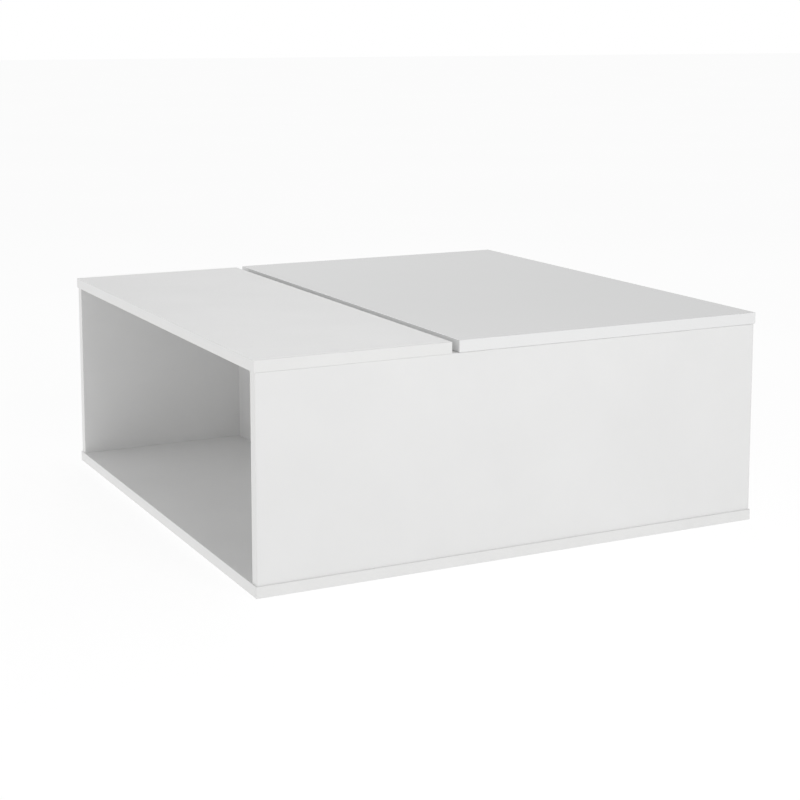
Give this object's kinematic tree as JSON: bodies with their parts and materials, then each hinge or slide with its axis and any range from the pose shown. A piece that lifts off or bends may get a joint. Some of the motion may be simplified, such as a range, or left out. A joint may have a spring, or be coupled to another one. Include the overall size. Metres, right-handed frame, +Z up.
{
  "type": "lift top coffee table",
  "caption": "Low square board table with an open niche at one end and a gloss top section that rises level on parallel arms over a storage well.",
  "frame": {"origin": "middle of the footprint, on the floor", "axes": "+X along the front towards the lifting end, +Y from the front to the back, +Z up"},
  "size_m": [0.9, 0.9, 0.3595],
  "materials": {
    "satin_white": "white melamine faced particle board, satin with a very fine pearl texture",
    "satin_white_edge": "white edging strip, satin",
    "gloss_white": "white high gloss lacquered board, mirror sharp reflections",
    "gloss_white_edge": "white high gloss edging strip",
    "grey_plastic": "moulded grey plastic",
    "zinc_screw": "zinc plated screw",
    "cast_zinc": "die cast zinc",
    "white_cap": "white moulded cap",
    "beech": "fluted beech dowel",
    "clear_bumper": "soft translucent bumper",
    "zinc_plate": "pressed steel, bright zinc plated",
    "pin_steel": "turned steel rivet",
    "nylon": "natural nylon",
    "spring_steel": "oiled spring steel wire"
  },
  "bodies": {
    "table": {"base_board": "satin_white", "base_board_edging": "satin_white_edge", "front_panel": "satin_white", "front_panel_edging": "satin_white_edge", "rear_panel": "satin_white", "rear_panel_edging": "satin_white_edge", "partition_panel": "satin_white", "partition_edging": "satin_white_edge", "right_end_panel": "satin_white", "right_end_edging": "satin_white_edge", "fixed_top": "satin_white", "fixed_top_edging": "satin_white_edge", "floor_glides": "grey_plastic", "base_screws": "zinc_screw", "cam_housings": "cast_zinc", "cam_bolts": "zinc_screw", "cam_covers": "white_cap", "dowels": "beech", "top_rest_pads": "clear_bumper", "front_base_bracket": "zinc_plate", "rear_base_bracket": "zinc_plate", "base_bracket_screws": "zinc_screw", "lower_pivot_pins": "pin_steel", "lower_washers": "nylon", "stop_pins": "pin_steel", "spring_posts": "pin_steel", "front_spring": "spring_steel", "rear_spring": "spring_steel"},
    "main_arms": {"front_main_arm": "zinc_plate", "rear_main_arm": "zinc_plate", "cross_bar": "zinc_plate", "cross_bar_screws": "zinc_screw"},
    "second_arms": {"front_second_arm": "zinc_plate", "rear_second_arm": "zinc_plate", "spring_pins": "pin_steel"},
    "top": {"lift_top": "gloss_white", "lift_top_edging": "gloss_white_edge", "front_top_bracket": "zinc_plate", "rear_top_bracket": "zinc_plate", "top_bracket_screws": "zinc_screw", "upper_pivot_pins": "pin_steel", "upper_washers": "nylon"}
  },
  "joints": [
    {"name": "lift", "type": "hinge", "parent": "table", "child": "main_arms", "pos_m": [0.4, 0, 0.31178], "axis": [0, 1, 0], "range_deg": [0, 110], "stiffness_Nm_per_rad": 4.5, "springref_deg": 110, "deforming": ["front_spring", "rear_spring"]},
    {"name": "second_arm_pivot", "type": "hinge", "parent": "table", "child": "second_arms", "pos_m": [0.34804, 0, 0.28178], "axis": [0, 1, 0], "range_deg": [0, 110]},
    {"name": "top_level", "type": "hinge", "parent": "main_arms", "child": "top", "pos_m": [0.15015, 0, 0.3205], "axis": [0, 1, 0], "range_deg": [-110, 0]}
  ],
  "couplings": [
    {"joint": "second_arm_pivot", "follows": "lift", "ratio": 1},
    {"joint": "top_level", "follows": "lift", "ratio": -1}
  ]
}
